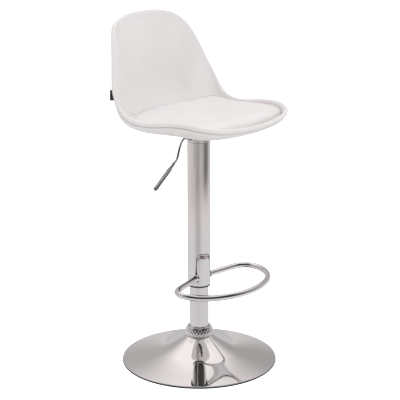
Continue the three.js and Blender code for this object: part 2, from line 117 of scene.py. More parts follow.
# ---------------------------------------------------------------- mesh helpers
def add_mesh(name, points_mm, faces, material, body, sharp=40):
    """A smooth-shaded mesh from points in millimetres, which rides on a body of the frame."""
    mesh = bpy.data.meshes.new(name)
    points = np.asarray(points_mm, float) * MM
    mesh.from_pydata([tuple(p) for p in points], [], faces)
    mesh.validate()
    made = bmesh.new()
    made.from_mesh(mesh)
    bmesh.ops.recalc_face_normals(made, faces=made.faces)
    made.to_mesh(mesh)
    made.free()
    mesh.shade_smooth()
    if sharp:
        mesh.set_sharp_from_angle(angle=math.radians(sharp))
    mesh.materials.append(material)
    piece = bpy.data.objects.new(name, mesh)
    bpy.context.scene.collection.objects.link(piece)
    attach(piece, body)
    return piece


def grid_faces(rows, columns, closed_rows=False, closed_columns=True, start=0):
    """Quads of a grid whose points are numbered row by row."""
    faces = []
    for j in range(rows if closed_rows else rows - 1):
        for i in range(columns if closed_columns else columns - 1):
            a = start + j * columns + i
            b = start + j * columns + (i + 1) % columns
            c = start + ((j + 1) % rows) * columns + (i + 1) % columns
            d = start + ((j + 1) % rows) * columns + i
            faces.append((a, b, c, d))
    return faces


def filleted(outline, steps=5):
    """Round the corners of a closed outline. Each entry is (r, z) or (r, z, corner radius)."""
    result = []
    count = len(outline)
    for i, entry in enumerate(outline):
        here = np.array(entry[:2], float)
        radius = entry[2] if len(entry) > 2 else 0
        if radius == 0:
            result.append(tuple(here))
            continue
        before = np.array(outline[i - 1][:2], float) - here
        after = np.array(outline[(i + 1) % count][:2], float) - here
        before_length, after_length = np.linalg.norm(before), np.linalg.norm(after)
        before, after = before / before_length, after / after_length
        half = math.acos(max(-1, min(1, float(before @ after)))) / 2
        reach = min(radius / math.tan(half), 0.49 * before_length, 0.49 * after_length)
        first, last = here + before * reach, here + after * reach
        for k in range(steps + 1):
            s = k / steps
            result.append(tuple((1 - s) ** 2 * first + 2 * s * (1 - s) * here + s * s * last))
    return result


def lathe(outline, sides=160, at=None, axis=None):
    """Turn a closed outline of (r, z) pairs. Returns points and faces. Axis is Z, or the one given."""
    rz = np.array(outline, float)
    angles = np.arange(sides) * 2 * math.pi / sides
    points = np.stack([
        np.outer(rz[:, 0], np.cos(angles)),
        np.outer(rz[:, 0], np.sin(angles)),
        np.repeat(rz[:, 1:2], sides, axis=1),
    ], axis=-1).reshape(-1, 3)
    if axis is not None:
        turn = Vector((0, 0, 1)).rotation_difference(Vector(axis)).to_matrix()
        points = points @ np.array(turn).T + np.asarray(at, float)
    return points, grid_faces(len(rz), sides, closed_rows=True)


def natural_spline(knots, values, at):
    """A curve with continuous curvature through the values. Each column of values is its own curve."""
    x = np.asarray(knots, float)
    y = np.asarray(values, float).reshape(len(x), -1)
    h = np.diff(x)
    n = len(x)
    left = np.eye(n)
    right = np.zeros_like(y)
    for i in range(1, n - 1):
        left[i, i - 1:i + 2] = [h[i - 1], 2 * (h[i - 1] + h[i]), h[i]]
        right[i] = 6 * ((y[i + 1] - y[i]) / h[i] - (y[i] - y[i - 1]) / h[i - 1])
    bend = np.linalg.solve(left, right)
    at = np.asarray(at, float)
    k = np.clip(np.searchsorted(x, at) - 1, 0, n - 2)
    a = ((x[k + 1] - at) / h[k])[:, None]
    b = 1 - a
    hh = (h[k] ** 2)[:, None]
    return a * y[k] + b * y[k + 1] + ((a ** 3 - a) * bend[k] + (b ** 3 - b) * bend[k + 1]) * hh / 6


def spline_through(points, count):
    """Points evenly spread along a smooth open curve through the given ones."""
    points = np.asarray(points, float)
    chord = np.concatenate([[0], np.cumsum(np.linalg.norm(np.diff(points, axis=0), axis=1))])
    dense = natural_spline(chord, points, np.linspace(0, chord[-1], count * 8))
    return evenly(dense, count)


def evenly(dense, count, closed=False):
    """Resample a polyline at equal distances."""
    if closed:
        dense = np.vstack([dense, dense[:1]])
    length = np.concatenate([[0], np.cumsum(np.linalg.norm(np.diff(dense, axis=0), axis=1))])
    at = np.linspace(0, length[-1], count + 1)[:-1] if closed else np.linspace(0, length[-1], count)
    return np.stack([np.interp(at, length, dense[:, k]) for k in range(dense.shape[1])], axis=-1)


def smoothed(values, width, closed=True):
    """Gaussian smoothing along the first axis, over a width counted in samples."""
    reach = int(4 * width) + 1
    weights = np.exp(-0.5 * (np.arange(-reach, reach + 1) / width) ** 2)
    weights /= weights.sum()
    mode = "wrap" if closed else "edge"
    padded_values = np.pad(values, [(reach, reach)] + [(0, 0)] * (values.ndim - 1), mode=mode)
    return sum(w * padded_values[k:k + len(values)] for k, w in enumerate(weights))


def sweep(path, radii, sides=20, caps=True):
    """A round bar along a path, with a radius at each point. Returns points and faces."""
    path = np.asarray(path, float)
    radii = np.broadcast_to(np.asarray(radii, float), len(path))
    tangents = np.gradient(path, axis=0)
    tangents /= np.linalg.norm(tangents, axis=1)[:, None]
    side = np.cross(tangents[0], [0, 1, 0] if abs(tangents[0][1]) < 0.9 else [0, 0, 1])
    side /= np.linalg.norm(side)
    angles = np.arange(sides) * 2 * math.pi / sides
    points = []
    for middle, tangent, radius in zip(path, tangents, radii):
        side = side - tangent * (side @ tangent)
        side /= np.linalg.norm(side)
        other = np.cross(tangent, side)
        points.append(middle + radius * (np.outer(np.cos(angles), side) + np.outer(np.sin(angles), other)))
    points = np.concatenate(points)
    faces = grid_faces(len(path), sides)
    if caps:
        faces.append(tuple(range(sides))[::-1])
        faces.append(tuple(range(len(points) - sides, len(points))))
    return points, faces


def merged(*parts):
    """Several (points, faces) as one."""
    points, faces, count = [], [], 0
    for part_points, part_faces in parts:
        points.append(np.asarray(part_points, float))
        faces += [tuple(i + count for i in face) for face in part_faces]
        count += len(part_points)
    return np.concatenate(points), faces


def smoothstep(x, low, high):
    s = np.clip((x - low) / (high - low), 0, 1)
    return s * s * (3 - 2 * s)


def ripple(points, scale, seed):
    """Soft, repeatable unevenness between about -1 and 1, for points in millimetres."""
    rng = np.random.default_rng(seed)
    total = np.zeros(points.shape[:-1])
    for _ in range(9):
        direction = rng.normal(size=3)
        direction /= np.linalg.norm(direction)
        wave = 2 * math.pi / (scale * rng.uniform(0.6, 1.6))
        total += np.sin(points @ direction * wave + rng.uniform(0, 2 * math.pi))
    return total / 4


# ---------------------------------------------------------------- materials
class Surface:
    """A Principled material with short calls for its nodes."""

    def __init__(self, name, **sockets):
        self.material = bpy.data.materials.new(name)
        self.material.use_nodes = True
        self.tree = self.material.node_tree
        self.shader = self.tree.nodes["Principled BSDF"]
        for socket, value in sockets.items():
            self.shader.inputs[socket.replace("_", " ")].default_value = value
        coordinates = self.tree.nodes.new("ShaderNodeTexCoord")
        self.place = coordinates.outputs["Object"]

    def link(self, output, target):
        self.tree.links.new(output, target)

    def stretched(self, scale):
        mapping = self.tree.nodes.new("ShaderNodeMapping")
        mapping.inputs["Scale"].default_value = scale
        self.link(self.place, mapping.inputs["Vector"])
        return mapping.outputs["Vector"]

    def noise(self, scale, detail=2.0, vector=None, distortion=0.0):
        node = self.tree.nodes.new("ShaderNodeTexNoise")
        node.inputs["Scale"].default_value = scale
        node.inputs["Detail"].default_value = detail
        node.inputs["Distortion"].default_value = distortion
        self.link(vector or self.place, node.inputs["Vector"])
        return node.outputs["Fac"]

    def cells(self, scale, feature="F1"):
        node = self.tree.nodes.new("ShaderNodeTexVoronoi")
        node.feature = feature
        node.inputs["Scale"].default_value = scale
        self.link(self.place, node.inputs["Vector"])
        return node.outputs["Distance"]

    def waves(self, scale, direction, distortion=0.0):
        node = self.tree.nodes.new("ShaderNodeTexWave")
        node.bands_direction = direction
        node.inputs["Scale"].default_value = scale
        node.inputs["Distortion"].default_value = distortion
        self.link(self.place, node.inputs["Vector"])
        return node.outputs["Fac"]

    def attribute(self, name):
        node = self.tree.nodes.new("ShaderNodeAttribute")
        node.attribute_name = name
        return node.outputs["Fac"]

    def between(self, factor, low, high, reach=(0.0, 1.0)):
        """The factor's reach, mapped from low to high. Low and high are both numbers or both colours."""
        if isinstance(low, (int, float)):
            node = self.tree.nodes.new("ShaderNodeMapRange")
            node.inputs["From Min"].default_value, node.inputs["From Max"].default_value = reach
            node.inputs["To Min"].default_value, node.inputs["To Max"].default_value = low, high
            self.link(factor, node.inputs["Value"])
            return node.outputs["Result"]
        node = self.tree.nodes.new("ShaderNodeValToRGB")
        node.color_ramp.elements[0].position, node.color_ramp.elements[1].position = reach
        node.color_ramp.elements[0].color = (*low, 1)
        node.color_ramp.elements[1].color = (*high, 1)
        self.link(factor, node.inputs["Fac"])
        return node.outputs["Color"]

    def maths(self, operation, a, b):
        node = self.tree.nodes.new("ShaderNodeMath")
        node.operation = operation
        for value, target in ((a, node.inputs[0]), (b, node.inputs[1])):
            if isinstance(value, (int, float)):
                target.default_value = value
            else:
                self.link(value, target)
        return node.outputs["Value"]

    def blend(self, mode, factor, a, b):
        node = self.tree.nodes.new("ShaderNodeMix")
        node.data_type = "RGBA"
        node.blend_type = mode
        for value, target in ((factor, node.inputs[0]), (a, node.inputs[6]), (b, node.inputs[7])):
            if isinstance(value, (int, float)):
                target.default_value = value
            elif isinstance(value, tuple):
                target.default_value = (*value, 1)
            else:
                self.link(value, target)
        return node.outputs[2]

    def to(self, socket, output):
        self.link(output, self.shader.inputs[socket])

    def bump(self, *layers):
        """Each layer is (height, strength, depth in metres)."""
        normal = None
        for height, strength, depth in layers:
            node = self.tree.nodes.new("ShaderNodeBump")
            node.inputs["Strength"].default_value = strength
            node.inputs["Distance"].default_value = depth
            self.link(height, node.inputs["Height"])
            if normal is not None:
                self.link(normal, node.inputs["Normal"])
            normal = node.outputs["Normal"]
        self.link(normal, self.shader.inputs["Normal"])


def leather(name, light, shade):
    """Off-white faux leather: pebbled grain, fine pores, mottled tone, painted shade in the seam creases."""
    s = Surface(name, Specular_IOR_Level=0.42, Sheen_Weight=0.12, Sheen_Roughness=0.45)
    grain = s.cells(720, "SMOOTH_F1")
    pebbles = s.between(grain, 1.0, 0.0, (0.1, 0.75))
    pores = s.noise(2400, 2.0)
    mottle = s.noise(14, 3.0, distortion=0.4)
    base = s.between(mottle, shade, light, (0.3, 0.68))
    base = s.blend("MULTIPLY", 0.25, base, s.between(pebbles, (0.86, 0.85, 0.84), (1, 1, 1), (0.0, 0.45)))
    # Painted shade: where the seam attribute is high, the colour is multiplied towards (0.86, 0.82, 0.79),
    # darkening the crease under the roll and the groove round the pad.
    seam_shade_factor = s.between(s.attribute("seam"), 0.0, 1.0)
    base = s.blend("MULTIPLY", seam_shade_factor, base, (0.86, 0.82, 0.79))
    s.to("Base Color", base)
    uneven = s.maths("ADD", s.maths("MULTIPLY", pebbles, -0.5), mottle)
    s.to("Roughness", s.between(uneven, 0.62, 0.44, (-0.1, 0.6)))
    s.bump((s.noise(60, 3.0), 0.22, 0.0006), (pebbles, 0.32, 0.00012), (pores, 0.2, 0.00004))
    return s.material


def chrome(name, tint=(0.80, 0.762, 0.76), low=0.025, high=0.07):
    """Polished plate with faint smears, a few dust specks and a trace of waviness."""
    s = Surface(name, Metallic=1.0)
    smear = s.noise(26, 4.0, distortion=1.2)
    specks = s.between(s.cells(240), 1.0, 0.0, (0.02, 0.06))
    dull = s.maths("ADD", s.between(smear, low, high, (0.35, 0.75)), s.maths("MULTIPLY", specks, 0.05))
    s.to("Roughness", dull)
    darker = tuple(c * 0.965 for c in tint)
    s.to("Base Color", s.between(s.noise(9, 2.0), darker, tint, (0.3, 0.7)))
    s.bump((s.noise(18, 1.0), 0.02, 0.002))
    return s.material


def steel(name, tint, low, high, lines=(900, 900, 30), depth=0.00003, metallic=1.0):
    """Satin or ground steel with fine lines along one direction."""
    s = Surface(name, Metallic=metallic)
    streaks = s.noise(1.0, 3.0, vector=s.stretched(lines))
    s.to("Roughness", s.between(streaks, low, high, (0.25, 0.75)))
    darker = tuple(c * 0.85 for c in tint)
    s.to("Base Color", s.between(s.noise(40, 3.0), darker, tint, (0.3, 0.7)))
    s.bump((streaks, 0.25, depth))
    return s.material


def coated(name, dark, light, low, high, scale, depth, metallic=0.0):
    """Paint, moulded plastic or rubber with a fine texture and scuffs."""
    s = Surface(name, Metallic=metallic)
    fine = s.noise(scale, 4.0)
    s.to("Base Color", s.between(s.noise(55, 3.0), dark, light, (0.35, 0.7)))
    s.to("Roughness", s.between(fine, low, high, (0.3, 0.7)))
    s.bump((fine, 0.4, depth))
    return s.material


def woven(name):
    """A black tape-woven label, blank."""
    s = Surface(name, Sheen_Weight=0.3, Sheen_Roughness=0.5)
    warp = s.waves(420, "DIAGONAL", 0.6)
    weft = s.waves(560, "Z", 0.4)
    cloth = s.maths("MULTIPLY", warp, weft)
    s.to("Base Color", s.between(cloth, (0.006, 0.006, 0.007), (0.03, 0.03, 0.032)))
    s.to("Roughness", s.between(s.noise(300), 0.75, 0.95))
    s.bump((cloth, 0.6, 0.0003))
    return s.material


LEATHER_LIGHT = (0.80, 0.772, 0.772)
LEATHER_SHADE = (0.765, 0.735, 0.731)
white_leather = leather("white_leather", LEATHER_LIGHT, LEATHER_SHADE)
chrome_plate = chrome("chrome_plate")
bright_chrome = chrome("bright_chrome", (0.84, 0.81, 0.805), 0.008, 0.022)
satin_steel = steel("satin_steel", (0.62, 0.61, 0.6), 0.18, 0.34)
lever_steel = steel("lever_steel", (0.5, 0.495, 0.49), 0.12, 0.22, metallic=0.94)
bracket_steel = steel("bracket_steel", (0.16, 0.16, 0.165), 0.15, 0.3)
bearing_steel = steel("bearing_steel", (0.6, 0.6, 0.62), 0.15, 0.3, (500, 500, 500))
dark_steel = coated("dark_steel", (0.02, 0.02, 0.022), (0.05, 0.05, 0.052), 0.35, 0.55, 700, 0.00005, 0.6)
black_plastic = coated("black_plastic", (0.012, 0.012, 0.012), (0.024, 0.024, 0.024), 0.4, 0.6, 1500, 0.00006)
black_rubber = coated("black_rubber", (0.008, 0.008, 0.008), (0.018, 0.018, 0.017), 0.65, 0.9, 500, 0.0001)
label_cloth = woven("label_cloth")
thread = coated("thread", (0.62, 0.59, 0.57), (0.76, 0.73, 0.71), 0.6, 0.8, 3000, 0.00005)

MATERIALS = {
    "chrome": chrome_plate, "satin_steel": satin_steel, "bearing_steel": bearing_steel,
    "dark_steel": dark_steel, "black_plastic": black_plastic, "black_rubber": black_rubber,
    "white_leather": white_leather, "label_fabric": label_cloth,
}


# ---------------------------------------------------------------- base and column
def turned(name, outline, slot, body, replaced, sides=160):
    points, faces = lathe(filleted(outline), sides)
    piece = add_mesh(name, points, faces, MATERIALS[slot], body)
    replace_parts(piece, replaced)


def dish_outline(steps=72):
    top = np.array(DISH_TOP, float)
    chord = np.concatenate([[0], np.cumsum(np.linalg.norm(np.diff(top, axis=0), axis=1))])
    outer = natural_spline(chord, top, np.linspace(0, chord[-1], steps))
    slope = np.gradient(outer, axis=0)
    slope /= np.linalg.norm(slope, axis=1)[:, None]
    inner = outer + np.stack([slope[:, 1], -slope[:, 0]], axis=-1) * DISH_WALL
    rim = filleted([
        tuple(outer[-2]), (BASE_RADIUS, DISH_TOP[-1][1], 1.1), (BASE_RADIUS, DISH_RIM_BOTTOM, 0.4),
        (BASE_RADIUS - DISH_WALL, DISH_RIM_BOTTOM, 0.4), tuple(inner[-3]),
    ])[1:-1]
    neck_lip = [tuple(inner[0] + (0, 0.2)), tuple((inner[0] + outer[0]) / 2 + (0, 0.35))]
    return [tuple(p) for p in outer[:-1]] + rim + [tuple(p) for p in inner[-3::-1]] + neck_lip


def build_base():
    points, faces = lathe(dish_outline(), 256)
    dish = add_mesh("trumpet_base", points, faces, chrome_plate, "base", 50)
    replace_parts(dish, "base_dish")
    turned("floor_gasket", [
        (190, 0.3, 0.5), (191.5, 0, 0.4), (204.6, 0, 0.5), (205.6, 1.2, 0.5), (205.6, 4.4, 0.5),
        (205.15, 4.6, 0.2), (205.15, 3.6), (199, 3.6), (198.4, 3.1), (196.6, 3.1), (196, 3.6),
        (190, 3.6, 0.5),
    ], "black_rubber", "base", "floor_ring", 256)
    turned("ballast_disc", [
        (25.7, 4.5, 0.5), (150, 4.5, 1), (150, 8.5, 1.2), (25.7, 8.5, 0.5),
    ], "dark_steel", "base", "ballast_plate", 96)
    turned("fixed_tube", [
        (23.8, 4.5, 0.4), (25.4, 4.5, 0.4), (25.4, 540, 0.6), (23.8, 540, 0.4),
    ], "chrome", "base", "stand_tube")
    outline = filleted([
        (25.7, 70.8, 0.3), (33.6, 70.8, 1.2), (36.6, 73.2, 1.8), (37.8, 78.5, 3), (36.9, 84.5, 3),
        (34.4, 90.5, 2.5), (31.6, 95, 1.5), (30.2, 96.3, 0.9), (28, 95.9, 0.8), (25.7, 93.6, 0.5),
    ])
    points, faces = lathe(evenly(np.array(outline), 110, closed=True), KNURL_SIDES)
    radius = np.hypot(points[:, 0], points[:, 1])
    turn = np.arctan2(points[:, 1], points[:, 0]) * KNURLS / (2 * math.pi)
    rise = points[:, 2] / KNURL_PITCH
    diamond = np.abs((turn + rise) % 1 * 2 - 1) * np.abs((turn - rise) % 1 * 2 - 1)
    knurled = smoothstep(radius, 30.5, 33) * smoothstep(points[:, 2], 74.5, 76.5)
    knurled *= smoothstep(-points[:, 2], -93, -90)
    points[:, :2] *= (1 + (diamond - 0.4) * KNURL_DEPTH * knurled / radius)[:, None]
    ring = add_mesh("neck_ring", points, faces, bright_chrome, "base", 0)
    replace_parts(ring, "trim_ring")


def build_column():
    turned("sliding_tube", [
        (28.5, 213.3, 0.3), (30, 213.3, 0.7), (30, 600, 0.7), (28.5, 600, 0.5),
    ], "chrome", "seat", "cover_tube")
    turned("wiper_bush", [
        (25.8, 209.3, 0.2), (29.4, 209.3, 0.5), (30.2, 210, 0.3), (30.2, 213, 0.2), (28.2, 213, 0.05),
        (28.2, 237.3, 0.3), (25.8, 237.3, 0.3),
    ], "black_plastic", "seat", "glide_bush")
    ring_outline = filleted([(25.5, 608, 0.1), (29.8, 608, 0.1), (29.8, 623.9, 0.6), (25.5, 623.9, 0.6)])
    low_outline = filleted([(25.5, 600.3, 0.4), (29.8, 600.3, 0.5), (29.8, 608, 0.1), (25.5, 608, 0.1)])
    half_slot = math.asin(5 / 27.6)
    angles = np.linspace(math.pi + half_slot, 3 * math.pi - half_slot, 121)
    section = np.array(ring_outline)
    swept_points = np.stack([
        np.outer(np.cos(angles), section[:, 0]), np.outer(np.sin(angles), section[:, 0]),
        np.repeat(section[None, :, 1], len(angles), axis=0)], axis=-1).reshape(-1, 3)
    size = len(section)
    swept_faces = grid_faces(len(angles), size)
    swept_faces += [tuple(range(size)), tuple(range(len(swept_points) - size, len(swept_points)))[::-1]]
    points, faces = merged(lathe(low_outline, 120), (swept_points, swept_faces))
    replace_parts(add_mesh("collar_ring", points, faces, chrome_plate, "seat"), "mechanism_ring")


def footrest_path():
    def quadratic(a, b, c, count):
        s = np.linspace(0, 1, count)[:, None]
        return (1 - s) ** 2 * np.array(a) + 2 * s * (1 - s) * np.array(b) + s * s * np.array(c)

    start, arm = np.array(FOOTREST_ARM_START, float), np.array(FOOTREST_ARM_END, float)
    line = start + np.linspace(0, 1, 60)[:-1, None] * (arm - start)
    corner = quadratic(
        arm, (FOOTREST_HALF_WIDTH, FOOTREST_CORNER_Y), (FOOTREST_HALF_WIDTH, FOOTREST_ELLIPSE_Y), 60)[:-1]
    angle = np.linspace(0, math.pi / 2, 120)
    front = np.stack([FOOTREST_HALF_WIDTH * np.cos(angle),
                      FOOTREST_ELLIPSE_Y - FOOTREST_DEPTH * np.sin(angle)], axis=-1)
    half = np.concatenate([line, corner, front])
    whole = np.concatenate([half, (half * (-1, 1))[-2::-1]])
    flat = smoothed(evenly(whole, 420), 2.5, closed=False)
    return np.column_stack([flat, np.full(len(flat), FOOTREST_HEIGHT)])


def build_footrest():
    path = footrest_path()
    out = np.linalg.norm(path[:, :2], axis=1) - COVER_RADIUS
    near_column = (np.arange(len(path)) < 60) | (np.arange(len(path)) > len(path) - 60)
    weld = np.where(near_column, 2.4 * np.exp(-(np.maximum(out, 0) / 1.8) ** 1.5), 0)
    keep = out > -1.2
    points, faces = sweep(path[keep], (FOOTREST_TUBE_RADIUS + weld)[keep], 32)
    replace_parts(add_mesh("footrest_loop", points, faces, bright_chrome, "seat"), "footrest")


# ---------------------------------------------------------------- release lever
def build_lever():
    def past_bend(distance):
        return LEVER_BEND + LEVER_OUT * distance

    bends = [(4, 0, LEVER_HEIGHT), (-20, 0, LEVER_HEIGHT), (-44, 0, LEVER_HEIGHT), (-59, 0, LEVER_HEIGHT + 3),
             (-69.5, 0, 610), (-77, 0, 598), (-83.5, 0, 582), tuple(LEVER_BEND), tuple(past_bend(8)),
             tuple(past_bend(30)), tuple(past_bend(60))]
    path = smoothed(spline_through(bends, 160), 1.5, closed=False)
    ends = np.minimum(np.arange(len(path)), np.arange(len(path))[::-1])
    radii = 3 - 0.8 * np.exp(-ends / 0.8)
    points, faces = sweep(path, radii, 20)
    rod = add_mesh("release_rod", points, faces, lever_steel, "lever")
    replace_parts(rod, "lever_rod")

    ribs = [(3.3, 0, 0.2)]
    for i in range(7):
        foot = 2.6 * i
        ribs += [(3.75, foot + 0.05), (4.12, foot + 0.45), (4.25, foot + 1.1), (4.12, foot + 1.75),
                 (3.75, foot + 2.15), (3.62, foot + 2.4)]
    ribs += [(3.3, 18.2, 0.2)]
    points, faces = lathe(filleted(ribs), 40, past_bend(FERRULE_START), LEVER_OUT)
    ferrule = add_mesh("ribbed_ferrule", points, faces, lever_steel, "lever")
    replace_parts(ferrule, "lever_ferrule")

    sleeve = filleted([(3.3, 0, 0.2), (4.5, 0, 0.6), (5.7, 2.2, 1.4), (5.8, GRIP_LENGTH, 0.25),
                       (3.3, GRIP_LENGTH, 0.2)])
    points, faces = lathe(sleeve, 48, past_bend(GRIP_START), LEVER_OUT)
    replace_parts(add_mesh("grip_sleeve", points, faces, lever_steel, "lever"), "lever_grip")

    dome = [(0.01, 0), (5.2, 0), (5.65, 0.35), (5.75, 0.9)]
    dome += [(5.75 * math.cos(a), 3.2 + 6.3 * math.sin(a)) for a in np.linspace(0, math.pi / 2 - 0.02, 14)]
    points, faces = lathe(dome, 48, past_bend(GRIP_START + GRIP_LENGTH + 0.3), LEVER_OUT)
    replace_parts(add_mesh("grip_end", points, faces, lever_steel, "lever"), "lever_end_cap")


def build_screws():
    """Pan-head screws with a hexagon socket, under the seat plate."""
    for number in range(1, 5):
        low, high = (np.array(corner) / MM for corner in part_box(f"seat_screw_{number}"))
        x, y = (low[:2] + high[:2]) / 2
        head = low[2]
        sides = 48
        angles = np.arange(sides) * 2 * math.pi / sides
        hexagon = 2.0 / np.cos((angles + math.pi / 6) % (math.pi / 3) - math.pi / 6)
        rings = [(3.0, high[2]), (3.0, head + 2.7), (5.4, head + 2.7), (5.5, head + 2.2),
                 (5.35, head + 1.1), (4.7, head + 0.35), (3.7, head), (hexagon + 0.25, head),
                 (hexagon, head + 0.2), (hexagon, head + 1.9)]
        points = np.concatenate([
            np.stack([x + r * np.cos(angles), y + r * np.sin(angles), np.full(sides, z)], axis=-1)
            for r, z in rings])
        faces = grid_faces(len(rings), sides)
        faces += [tuple(range(sides)), tuple(range(len(points) - sides, len(points)))[::-1]]
        screw = add_mesh(f"socket_screw_{number}", points, faces, satin_steel, "seat", 30)
        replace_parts(screw, f"seat_screw_{number}")


# ---------------------------------------------------------------- bucket seat
def closed_catmull_rom(points, count):
    """The frame's edge curve: a closed centripetal curve through the points."""
    points = np.asarray(points, float)
    n = len(points)
    s = np.arange(count) * n / count
    k = np.floor(s).astype(int)
    w = (s - k)[:, None]
    p0, p1, p2, p3 = (points[(k + shift) % n] for shift in (-1, 0, 1, 2))
    d0, d1, d2 = (np.sqrt(np.linalg.norm(b - a, axis=1))[:, None] for a, b in ((p0, p1), (p1, p2), (p2, p3)))
    m1 = ((p1 - p0) / d0 - (p2 - p0) / (d0 + d1) + (p2 - p1) / d1) * d1
    m2 = ((p2 - p1) / d1 - (p3 - p1) / (d1 + d2) + (p3 - p2) / d2) * d1
    return (p1 + m1 * w + (-3 * p1 + 3 * p2 - 2 * m1 - m2) * w ** 2 + (2 * p1 - 2 * p2 + m1 + m2) * w ** 3)


class Bucket:
    """The bucket's surfaces, sampled at equal distances round its edge."""

    def __init__(self, around):
        whole = EDGE_HALF + [(-x, y, z) for x, y, z in EDGE_HALF[-2:0:-1]]
        dense = smoothed(closed_catmull_rom(whole, 2400), 14)
        self.edge = evenly(dense, around, closed=True)
        along = np.roll(self.edge, -1, axis=0) - np.roll(self.edge, 1, axis=0)
        self.along = along / np.linalg.norm(along, axis=1)[:, None]
        back = smoothstep(self.edge[:, 2], 690, 890)
        front = smoothstep(-self.edge[:, 1], 60, 180)
        inner = [
            self.place(0, SEAT_INNER_BOTTOM),
            self.place(0.74 + 0.26 * back, SEAT_INNER_BOTTOM - 4),
            self.place(0.92 - 0.14 * back, (SEAT_INNER_BOTTOM + 4) * (1 - back) + 702 * back),
        ]
        outer = [
            self.place(0, SEAT_OUTER_BOTTOM),
            self.place(0.55 + 0.43 * back, SEAT_OUTER_BOTTOM - 1),
            self.place(0.99 - 0.11 * back, (SEAT_OUTER_BOTTOM + 17 - 3 * front) * (1 - back) + 695 * back),
        ]
        outward = self.edge - inner[2]
        outward -= self.along * (outward * self.along).sum(1)[:, None]
        self.outward = outward / np.linalg.norm(outward, axis=1)[:, None]
        self.facing = np.cross(self.outward, self.along)
        inner.append(self.rolled(-EDGE_STOP, EDGE_HALF_THICKNESS))
        outer.append(self.rolled(-EDGE_STOP, -EDGE_HALF_THICKNESS))
        self.inner, self.outer = inner, outer

    def place(self, share, z):
        share = np.broadcast_to(np.asarray(share, float), len(self.edge))
        x = self.edge[:, 0] * share
        y = SEAT_CENTRE_Y + (self.edge[:, 1] - SEAT_CENTRE_Y) * share
        return np.stack([x, y, np.broadcast_to(np.asarray(z, float), len(x))], axis=-1)

    def rolled(self, out, face):
        """Points beside the edge's centre line, in its own section."""
        out, face = (np.reshape(np.asarray(v, float), (-1, 1)) for v in (out, face))
        return self.edge + self.outward * out + self.facing * face

    def bezier(self, control, t):
        t = np.reshape(np.asarray(t, float), (-1, 1))
        a, b, c, d = control
        return (1 - t) ** 3 * a + 3 * t * (1 - t) ** 2 * b + 3 * t * t * (1 - t) * c + t ** 3 * d

    def at(self, t, layer):
        """Points at a share of the way from the middle to the edge. Layer 0 is inside and 1 outside."""
        return self.bezier(self.inner, t) * (1 - layer) + self.bezier(self.outer, t) * layer

    def puckers(self, scale, seed):
        """Unevenness along the seam."""
        distance = np.arange(len(self.edge)) * np.linalg.norm(np.diff(self.edge, axis=0), axis=1).mean()
        return ripple(np.stack([distance, 0 * distance, 0 * distance], axis=-1), scale, seed)


def skin(rows, first_pole, last_pole):
    """A closed skin: rows of points round the bucket, with one point at each end."""
    columns = rows[0].shape[0]
    points = np.concatenate([[first_pole]] + rows + [[last_pole]])
    faces = grid_faces(len(rows), columns, start=1)
    last = 1 + (len(rows) - 1) * columns
    for i in range(columns):
        j = (i + 1) % columns
        faces.append((0, 1 + j, 1 + i))
        faces.append((last + i, last + j, len(points) - 1))
    return points, faces


# Stores the painted seam shade that the leather material darkens by.
def store_painted_shade(piece, values):
    attribute = piece.data.attributes.new("seam", "FLOAT", "POINT")
    attribute.data.foreach_set("value", np.asarray(values, np.float32))


def build_upholstery(bucket):
    """The padded inside of the bucket, wrapped over the shell's edge as a soft roll."""
    rows, painted_shade_rows = [], []
    for t in np.linspace(0.06, 0.97, 44):
        row = bucket.at(t, 0)
        plump = 1.1 * np.sin(math.pi * t) ** 0.8
        soft = ripple(row, 95, 4) * 0.35 * smoothstep(t, 0.3, 0.6)
        rows.append(row + bucket.facing * ((plump + soft) * smoothstep(t, 0.35, 0.75))[:, None])
        painted_shade_rows.append(np.zeros(AROUND))
    lip = [(-5.6, 5.45), (-4.0, 5.8), (-2.0, 6.0)]
    lip += [(LIP_RADIUS * math.cos(a), (LIP_RADIUS + 0.1) * math.sin(a))
            for a in np.radians(np.arange(88, -93, -10))]
    lip += [(-1.7, -5.75), (-3.2, -5.4), (-4.5, -4.9), (-5.3, -4.2), (-6.2, -3.2), (-6.9, -2.4)]
    puckers = bucket.puckers(13, 7)
    for out, face in lip:
        pull = 0.22 * puckers * smoothstep(-face, 1.5, 5.5)
        rows.append(bucket.rolled(out + pull * 0.4, face + pull))
        # Painted shade on the roll's underside, darker towards the crease.
        painted_shade_rows.append(np.full(AROUND, smoothstep(-out, 1.5, 5.0) if face < 0 else 0.0))
    for t in np.linspace(0.985, 0.06, 12):
        rows.append(bucket.at(t, UPHOLSTERY_LAYER))
        painted_shade_rows.append(np.zeros(AROUND))
    top = bucket.at(0, 0).mean(axis=0)
    bottom = bucket.at(0, UPHOLSTERY_LAYER).mean(axis=0)
    points, faces = skin(rows, top, bottom)
    piece = add_mesh("seat_upholstery", points, faces, white_leather, "seat", 0)
    store_painted_shade(piece, np.concatenate([[0], *painted_shade_rows, [0]]))
    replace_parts(piece, "inner_upholstery", "edge_welt")


